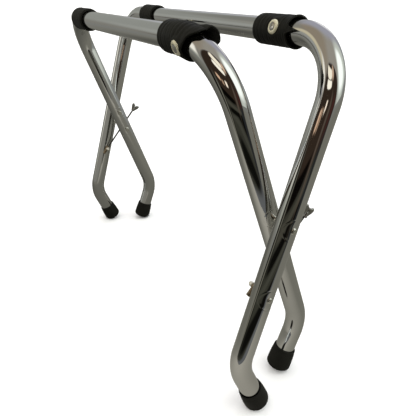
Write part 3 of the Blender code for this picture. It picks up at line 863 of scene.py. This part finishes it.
def ear_points():
    """Rings of a plump plate in the XZ plane, from its -Y middle over its rim to +Y."""
    loop = smooth_loop(EAR_OUTLINE)
    centre = np.array(EAR_MIDDLE)
    rings = []
    for lean in np.linspace(-EAR_LEAN, EAR_LEAN, EAR_ROWS):
        share = 0.72 + 0.28 * math.cos(lean)
        if abs(lean) > 1.3:
            share = 0.25
        flat = centre + (loop - centre) * share
        depth = np.full(len(loop), EAR_THICKNESS / 2 * math.sin(lean))
        rings.append(np.stack([flat[:, 0], depth, flat[:, 1]], -1))
    return np.stack(rings)


def make_wing_nut(end_name):
    place = WING[end_name]
    hub = [
        (0.0017, HUB_HEIGHT - 0.0001),
        (0.0026, HUB_HEIGHT),
        (0.0028, 0.0060),
        (0.0031, 0.0030),
        (0.0034, 0.0012),
        (0.0034, 0.0001),
        (0.0030, 0.0),
        (0.0017, 0.0001),
    ]
    name = f"wing_nut_{end_name}_cast"
    form = bmesh.new()
    rows = turned_points(rounded_ring(hub, 0.0004), 48)
    form.from_mesh(skin_mesh(name, rows, place, STAY, True))
    ears = ear_points()
    for turned in (math.pi / 2, -math.pi / 2):
        form.from_mesh(skin_mesh(name, ears, place, STAY, False, turned, sharp=0))
    bmesh.ops.recalc_face_normals(form, faces=form.faces)
    mesh = bpy.data.meshes.new(name)
    form.to_mesh(mesh)
    form.free()
    mesh.shade_smooth()
    mesh.set_sharp_from_angle(angle=math.radians(50))
    add_piece(name, mesh, WING_STEEL, f"wing_{end_name}", [f"wing_nut_{end_name}"])


# Materials


def new_material(name):
    material = bpy.data.materials.new(name)
    material.use_nodes = True
    tree = material.node_tree
    return material, tree, tree.nodes["Principled BSDF"]


def feed(tree, socket, value):
    """Links another node's output to the socket, or sets the socket to the value."""
    if isinstance(value, bpy.types.NodeSocket):
        tree.links.new(value, socket)
    else:
        socket.default_value = value


def add_noise(tree, scale, detail):
    """A noise pattern fixed to the object's own coordinates."""
    noise = tree.nodes.new("ShaderNodeTexNoise")
    noise.inputs["Scale"].default_value = scale
    noise.inputs["Detail"].default_value = detail
    feed(tree, noise.inputs["Vector"], tree.nodes.new("ShaderNodeTexCoord").outputs["Object"])
    return noise.outputs["Fac"]


def add_range(tree, value, low, high, from_low=0.3, from_high=0.7, kind="LINEAR"):
    """The value moved from one range to another, and held at its ends."""
    ramp = tree.nodes.new("ShaderNodeMapRange")
    ramp.interpolation_type = kind
    ramp.inputs["From Min"].default_value = from_low
    ramp.inputs["From Max"].default_value = from_high
    ramp.inputs["To Min"].default_value = low
    ramp.inputs["To Max"].default_value = high
    feed(tree, ramp.inputs["Value"], value)
    return ramp.outputs["Result"]


def mixed_color(tree, mask, below, above):
    """One colour where the mask is 0 and the other where it is 1."""
    mix = tree.nodes.new("ShaderNodeMix")
    mix.data_type = "RGBA"
    feed(tree, mix.inputs["Factor"], mask)
    for socket, value in ((mix.inputs[6], below), (mix.inputs[7], above)):
        feed(tree, socket, (*value, 1) if isinstance(value, tuple) else value)
    return mix.outputs[2]


def add_bump(tree, shader, height, strength, distance=0.0002):
    bump = tree.nodes.new("ShaderNodeBump")
    bump.inputs["Strength"].default_value = strength
    bump.inputs["Distance"].default_value = distance
    feed(tree, bump.inputs["Height"], height)
    feed(tree, shader.inputs["Normal"], bump.outputs["Normal"])


def chrome_material():
    material, tree, shader = new_material("polished_chrome")
    haze = add_noise(tree, 18, 5)
    color = mixed_color(tree, haze, (0.74, 0.735, 0.71), (0.82, 0.82, 0.81))
    feed(tree, shader.inputs["Base Color"], color)
    shader.inputs["Metallic"].default_value = 1
    feed(tree, shader.inputs["Roughness"], add_range(tree, haze, 0.03, 0.075))
    add_bump(tree, shader, add_noise(tree, 60, 2), 0.02, 0.0005)
    return material


def rubber_material():
    material, tree, shader = new_material("black_rubber_soft")
    bloom = add_noise(tree, 45, 6)
    share = add_range(tree, bloom, 0, 1)
    color = mixed_color(tree, share, (0.0035, 0.0035, 0.0025), (0.0100, 0.0098, 0.0070))
    feed(tree, shader.inputs["Base Color"], color)
    feed(tree, shader.inputs["Roughness"], add_range(tree, bloom, 0.45, 0.7))
    shader.inputs["Specular IOR Level"].default_value = 0.22
    add_bump(tree, shader, add_noise(tree, 900, 3), 0.25)
    return material


def plated_material(name, dark, light, metallic, smooth, rough, bump, noise=(420, 5)):
    """Plated metal: a fine haze varies its colour, its roughness and its surface."""
    material, tree, shader = new_material(name)
    haze = add_noise(tree, *noise)
    color = mixed_color(tree, add_range(tree, haze, 0, 1), dark, light)
    feed(tree, shader.inputs["Base Color"], color)
    shader.inputs["Metallic"].default_value = metallic
    feed(tree, shader.inputs["Roughness"], add_range(tree, haze, smooth, rough))
    add_bump(tree, shader, haze, bump)
    return material


CHROME = chrome_material()
RUBBER = rubber_material()
NICKEL = plated_material(
    "warm_nickel_plate", (0.78, 0.72, 0.50), (0.90, 0.86, 0.66), 0.45, 0.22, 0.34, 0.06, (260, 4)
)
ZINC = plated_material(
    "bright_zinc_plate", (0.66, 0.64, 0.57), (0.93, 0.92, 0.86), 1, 0.16, 0.34, 0.06
)
SCREW_STEEL = plated_material(
    "polished_screw_steel", (0.55, 0.53, 0.49), (0.80, 0.79, 0.76), 1, 0.10, 0.20, 0.04
)
PALE_ZINC = plated_material(
    "pale_zinc_plate", (0.78, 0.75, 0.64), (0.92, 0.90, 0.80), 0.6, 0.20, 0.32, 0.04
)
ROD_STEEL = plated_material(
    "dark_rod_steel", (0.06, 0.06, 0.055), (0.17, 0.165, 0.15), 1, 0.22, 0.36, 0.04
)
WING_STEEL = plated_material(
    "cast_wing_steel", (0.30, 0.295, 0.27), (0.52, 0.51, 0.48), 1, 0.10, 0.20, 0.02
)
CHROMATE = plated_material(
    "brown_chromate_steel", (0.20, 0.155, 0.10), (0.44, 0.35, 0.24), 0.9, 0.22, 0.38, 0.08
)

for frame_name in SIDES:
    body_name = f"{frame_name}_frame"
    make_tube(frame_name, body_name)
    for end_name in ENDS:
        make_sleeve(frame_name, end_name, body_name)
        make_sleeve_fixing(frame_name, end_name, body_name)
        make_tip(frame_name, end_name, body_name)

for end_name in ENDS:
    make_pivot(end_name)
    make_anchor(end_name)
    make_stay(end_name)
    make_guide(end_name)
    make_wing_nut(end_name)


# Stage

CAMERA_PLACE = (0.58349, -0.25038, PIVOT_Z + 0.22054)
CAMERA_HEADING = 151.799  # degrees, as are its tilt and roll
CAMERA_TILT = -27.2441
CAMERA_ROLL = 1.4668
LENS = 37.805
SENSOR = 36.0


def direction(azimuth, elevation):
    azimuth = math.radians(azimuth)
    elevation = math.radians(elevation)
    level = math.cos(elevation)
    return Vector((level * math.cos(azimuth), level * math.sin(azimuth), math.sin(elevation)))


def add_camera():
    data = bpy.data.cameras.new("camera")
    data.sensor_width = SENSOR
    data.lens = LENS
    data.clip_start = 0.01
    data.clip_end = 50
    camera = bpy.data.objects.new("camera", data)
    bpy.context.scene.collection.objects.link(camera)
    ahead = direction(CAMERA_HEADING, CAMERA_TILT)
    level = ahead.cross(Vector((0, 0, 1))).normalized()
    down = ahead.cross(level)
    roll = math.radians(CAMERA_ROLL)
    right = level * math.cos(roll) + down * math.sin(roll)
    up = level * math.sin(roll) - down * math.cos(roll)
    turn = Matrix((right, up, -ahead)).transposed()
    camera.matrix_world = Matrix.Translation(CAMERA_PLACE) @ turn.to_4x4()
    bpy.context.scene.camera = camera


def math_node(tree, operation, *values, kind="Math", output="Value"):
    node = tree.nodes.new(f"ShaderNode{kind}")
    node.operation = operation
    for socket, value in zip(node.inputs, values):
        feed(tree, socket, value)
    return node.outputs[output]


def dot_node(tree, vector, fixed):
    return math_node(tree, "DOT_PRODUCT", vector, tuple(fixed), kind="VectorMath")


def patch_mask(tree, view, azimuth, elevation, wide, tall, soft, power=2.0, shear=0.0):
    """1 inside a patch of the surroundings and 0 outside. Angles and sizes are in degrees.

    The patch is round at power 2 and squarer above. The shear moves its middle along by so
    many degrees for each degree up.
    """
    ahead = direction(azimuth, 0)
    level = Vector((0, 0, 1)).cross(ahead)
    up = dot_node(tree, view, (0, 0, 1))
    turn = math_node(tree, "ARCTAN2", dot_node(tree, view, level), dot_node(tree, view, ahead))
    rise = math_node(tree, "SUBTRACT", math_node(tree, "ARCSINE", up), math.radians(elevation))
    turn = math_node(tree, "SUBTRACT", turn, math_node(tree, "MULTIPLY", rise, shear))
    parts = []
    for value, size in ((turn, wide), (rise, tall)):
        scaled = math_node(tree, "DIVIDE", value, math.radians(size))
        parts.append(math_node(tree, "POWER", math_node(tree, "ABSOLUTE", scaled), power))
    reach = math_node(tree, "POWER", math_node(tree, "ADD", *parts), 1 / power)
    return add_range(tree, reach, 1, 0, 1 - soft, 1 + soft, "SMOOTHSTEP")


def patched_color(tree, view, color, patches):
    """A colour with soft patches laid over it, one after another."""
    for patch, tint in patches:
        color = mixed_color(tree, patch_mask(tree, view, *patch), color, tint)
    return color


# What the chrome reflects: a dim room, a dark card hung near the right end, and a grey floor.
# A patch is (azimuth, elevation, half-width, half-height, softness) in degrees and a share of
# its size, and its power and shear where they aren't 2 and 0. Its colour follows.
ROOM_BASE = (0.235, 0.230, 0.205)
ROOM_PATCHES = [
    ((0, 90, 400, 62, 0.25), (0.34, 0.32, 0.28)),
    ((95, -5, 45, 25, 0.5), (0.24, 0.265, 0.255)),
    ((-145, 50, 50, 28, 0.5), (0.30, 0.255, 0.195)),
    ((130, 42, 48, 32, 0.5), (0.38, 0.38, 0.44)),
    ((180, 18, 35, 14, 0.5), (0.31, 0.32, 0.295)),
    ((-153, 11, 12, 7, 0.5), (0.36, 0.37, 0.345)),
    ((-178, 34, 24, 7, 0.6), (0.235, 0.238, 0.215)),
    ((156, 18, 9, 13, 0.5), (0.46, 0.47, 0.49)),
    ((-149, -0.8, 8, 1.8, 0.4), (0.01, 0.01, 0.01)),
    ((57, 26, 42, 38, 0.25, 2.5), (0.62, 0.66, 0.60)),
    ((50, 34, 26, 26, 0.30, 2.5), (1.25, 1.32, 1.27)),
    ((88, -1, 27, 5, 0.4), (0.27, 0.28, 0.28)),
    ((-123, 0, 9, 14, 0.35, 3.0), (0.36, 0.37, 0.32)),
    ((-123, 18, 9, 13, 0.45, 3.0), (1.05, 1.02, 0.92)),
    ((-140, 24, 9, 8, 0.5), (0.62, 0.56, 0.40)),
    ((128, 20, 8, 12, 0.5), (0.85, 0.85, 0.88)),
]
# The card glows with painted light: its dark colour is painted shade for the dim room, and its
# bright patches are painted windows and glints.
CARD_COLOR = (0.034, 0.023, 0.016)
CARD_CENTRE = (0.27, 0.0, 0.29)
CARD_RADIUS = 0.355
CARD_SHAPES = [  # the card's outline is both together
    (-44, 22, 64, 50, 0.035, 2.8),
    (-44, -5, 64, 52, 0.035),
]
CARD_CORE = (-64, -5, 92, 45, 0.05)  # below it the card is its edge's colour
CARD_EDGE = (0.125, 0.130, 0.135)
CARD_PATCHES = [
    ((-45, -36, 80, 36, 0.15, 4.0), (0.042, 0.042, 0.032)),
    ((-62, 3, 38, 5.5, 0.25, 3.0), (0.003, 0.0025, 0.002)),
    ((-40, -9, 52, 3.0, 0.3, 3.0, -0.1), (0.066, 0.063, 0.048)),
    ((-34, -18, 46, 4.5, 0.25, 3.0, -0.1), (0.004, 0.004, 0.003)),
    ((-30, -27, 60, 2.4, 0.35, 3.0, 0.1), (0.060, 0.060, 0.047)),
    ((-42, -40, 40, 6, 0.3, 3.0), (0.005, 0.005, 0.004)),
    ((-95, -24, 13, 40, 0.2, 4.0), (0.006, 0.006, 0.005)),
    ((-92, -24, 4.5, 38, 0.4, 4.0), (0.150, 0.145, 0.115)),
    ((8, -18, 7, 24, 0.5, 3.0), (0.020, 0.022, 0.024)),
    ((-14, 12, 6, 26, 0.5), (0.100, 0.075, 0.058)),
    ((5, 16, 7, 14, 0.5), (0.060, 0.022, 0.018)),
    ((-60, 61, 27, 5.5, 0.12, 4.0), (1.10, 1.02, 0.84)),
    ((-54, 50, 24, 4.5, 0.12, 4.0), (1.20, 1.14, 0.98)),
    ((-22, 62, 10, 8, 0.5), (0.70, 0.50, 0.36)),
    ((-74, 25, 7, 3.5, 0.2, 4.0), (0.75, 0.50, 0.34)),
    ((-60, 24, 4, 4, 0.2, 4.0), (0.45, 0.30, 0.20)),
    ((-44, 28, 5, 5, 0.2, 4.0), (1.15, 1.00, 0.82)),
]
SHEET_NEAR = (0.40, 0.385, 0.335)  # by the near feet, a painted pool of light
SHEET_FAR = (0.190, 0.186, 0.158)
SHEET_SHADE = (0.088, 0.088, 0.078)  # painted shade beyond the left end
SHEET_EDGE = (0.220, 0.222, 0.205)
SHEET_MIDDLE = (0.38, -0.20)
SHEET_REACH = (0.08, 0.34)
SHADE_MIDDLE = (-0.70, -0.15)
SHADE_REACH = (0.05, 0.90)
EDGE_REACH = (1.4, 3.0)
SHEET_DROP = 0.0005  # below the floor


def stage_object(name, mesh, material, hidden):
    """An object of the stage, hidden from some kinds of ray."""
    thing = bpy.data.objects.new(name, mesh)
    bpy.context.scene.collection.objects.link(thing)
    mesh.materials.append(material)
    for kind in hidden:
        setattr(thing, f"visible_{kind}", False)
    return thing


def square_mesh(name, size):
    corners = [(-size, -size, 0), (size, -size, 0), (size, size, 0), (-size, size, 0)]
    mesh = bpy.data.meshes.new(name)
    mesh.from_pydata(corners, [], [(0, 1, 2, 3)])
    return mesh


def add_floor():
    material, _, shader = new_material("pale_floor")
    shader.inputs["Base Color"].default_value = (0.93, 0.93, 0.93, 1)
    shader.inputs["Roughness"].default_value = 1
    shader.inputs["Specular IOR Level"].default_value = 0
    floor = stage_object("floor", square_mesh("floor", 120), material, ("glossy", "diffuse"))


def glow_material(name):
    """A material that only glows, with its tree and its emission node."""
    material, tree, shader = new_material(name)
    tree.nodes.remove(shader)
    glow = tree.nodes.new("ShaderNodeEmission")
    tree.links.new(glow.outputs["Emission"], tree.nodes["Material Output"].inputs["Surface"])
    return material, tree, glow


def far_mask(tree, place, middle, reach):
    """0 near a point of the floor, rising to 1 further off."""
    gap = math_node(tree, "DISTANCE", place, (*middle, 0), kind="VectorMath")
    return add_range(tree, gap, 0, 1, *reach)


def add_sheet():
    """The floor that the chrome sees, glowing with painted light: brightest by the near feet
    with a painted pool of light, and dark beyond the left end with painted shade.
    """
    material, tree, glow = glow_material("grey_sheet")
    place = tree.nodes.new("ShaderNodeTexCoord").outputs["Object"]
    aside = (SHADE_MIDDLE[0] - SHEET_MIDDLE[0], SHADE_MIDDLE[1] - SHEET_MIDDLE[1])
    # a painted pool of light by the near feet and painted shade beyond the left end
    color = mixed_color(tree, far_mask(tree, place, (0, 0), SHEET_REACH), SHEET_NEAR, SHEET_FAR)
    color = mixed_color(tree, far_mask(tree, place, aside, SHADE_REACH), SHEET_SHADE, color)
    color = mixed_color(tree, far_mask(tree, place, (0, 0), EDGE_REACH), color, SHEET_EDGE)
    feed(tree, glow.inputs["Color"], color)
    hidden = ("camera", "diffuse", "shadow")
    sheet = stage_object("grey_sheet", square_mesh("grey_sheet", 6), material, hidden)
    sheet.location = (*SHEET_MIDDLE, -SHEET_DROP)


def mix_shaders(tree, share, first, second, output):
    """Ends a tree with a blend of two shaders."""
    mix = tree.nodes.new("ShaderNodeMixShader")
    for socket, value in zip(mix.inputs, (share, first, second)):
        tree.links.new(value, socket)
    tree.links.new(mix.outputs["Shader"], tree.nodes[output].inputs["Surface"])


def add_world():
    """White for the camera, and a dim room with soft windows for what the chrome reflects."""
    world = bpy.data.worlds.new("studio")
    world.use_nodes = True
    tree = world.node_tree
    room = tree.nodes["Background"]
    view = tree.nodes.new("ShaderNodeTexCoord").outputs["Generated"]
    feed(tree, room.inputs["Color"], patched_color(tree, view, ROOM_BASE, ROOM_PATCHES))
    backdrop = tree.nodes.new("ShaderNodeBackground")
    backdrop.inputs["Color"].default_value = (1, 1, 1, 1)
    seen = tree.nodes.new("ShaderNodeLightPath").outputs["Is Camera Ray"]
    mix_shaders(tree, seen, room.outputs[0], backdrop.outputs[0], "World Output")
    bpy.context.scene.world = world


def card_mesh():
    """The part of a sphere that faces the way the card does."""
    mesh = bpy.data.meshes.new("dark_card")
    form = bmesh.new()
    bmesh.ops.create_uvsphere(form, u_segments=64, v_segments=32, radius=CARD_RADIUS)
    ahead = direction(CARD_SHAPES[0][0], 0)
    away = [v for v in form.verts if v.co.normalized().dot(ahead) < 0.1]
    bmesh.ops.delete(form, geom=away, context="VERTS")
    form.to_mesh(mesh)
    form.free()
    mesh.shade_smooth()
    return mesh


def add_card():
    """A dark card with soft edges round the right end, seen only in reflections. It glows with
    painted shade, and with painted windows and glints in its patches.
    """
    material, tree, glow = glow_material("dark_card")
    place = tree.nodes.new("ShaderNodeTexCoord").outputs["Object"]
    view = math_node(tree, "NORMALIZE", place, kind="VectorMath", output="Vector")
    # painted shade, windows and glints on the card
    color = patched_color(tree, view, CARD_COLOR, CARD_PATCHES)
    masks = [patch_mask(tree, view, *shape) for shape in CARD_SHAPES]
    core = math_node(tree, "MAXIMUM", masks[0], patch_mask(tree, view, *CARD_CORE))
    feed(tree, glow.inputs["Color"], mixed_color(tree, core, CARD_EDGE, color))
    clear = tree.nodes.new("ShaderNodeBsdfTransparent")
    cover = math_node(tree, "MAXIMUM", *masks)
    mix_shaders(tree, cover, clear.outputs[0], glow.outputs[0], "Material Output")
    card = stage_object("dark_card", card_mesh(), material, ("camera", "diffuse", "shadow"))
    card.location = CARD_CENTRE


def add_sky_light():
    data = bpy.data.lights.new("soft_top_light", "SUN")
    data.energy = 3.2
    data.angle = math.radians(140)
    light = bpy.data.objects.new("soft_top_light", data)
    light.visible_glossy = False
    bpy.context.scene.collection.objects.link(light)


add_camera()
add_floor()
add_sheet()
add_world()
add_card()
add_sky_light()
bpy.context.scene.view_settings.view_transform = "Standard"
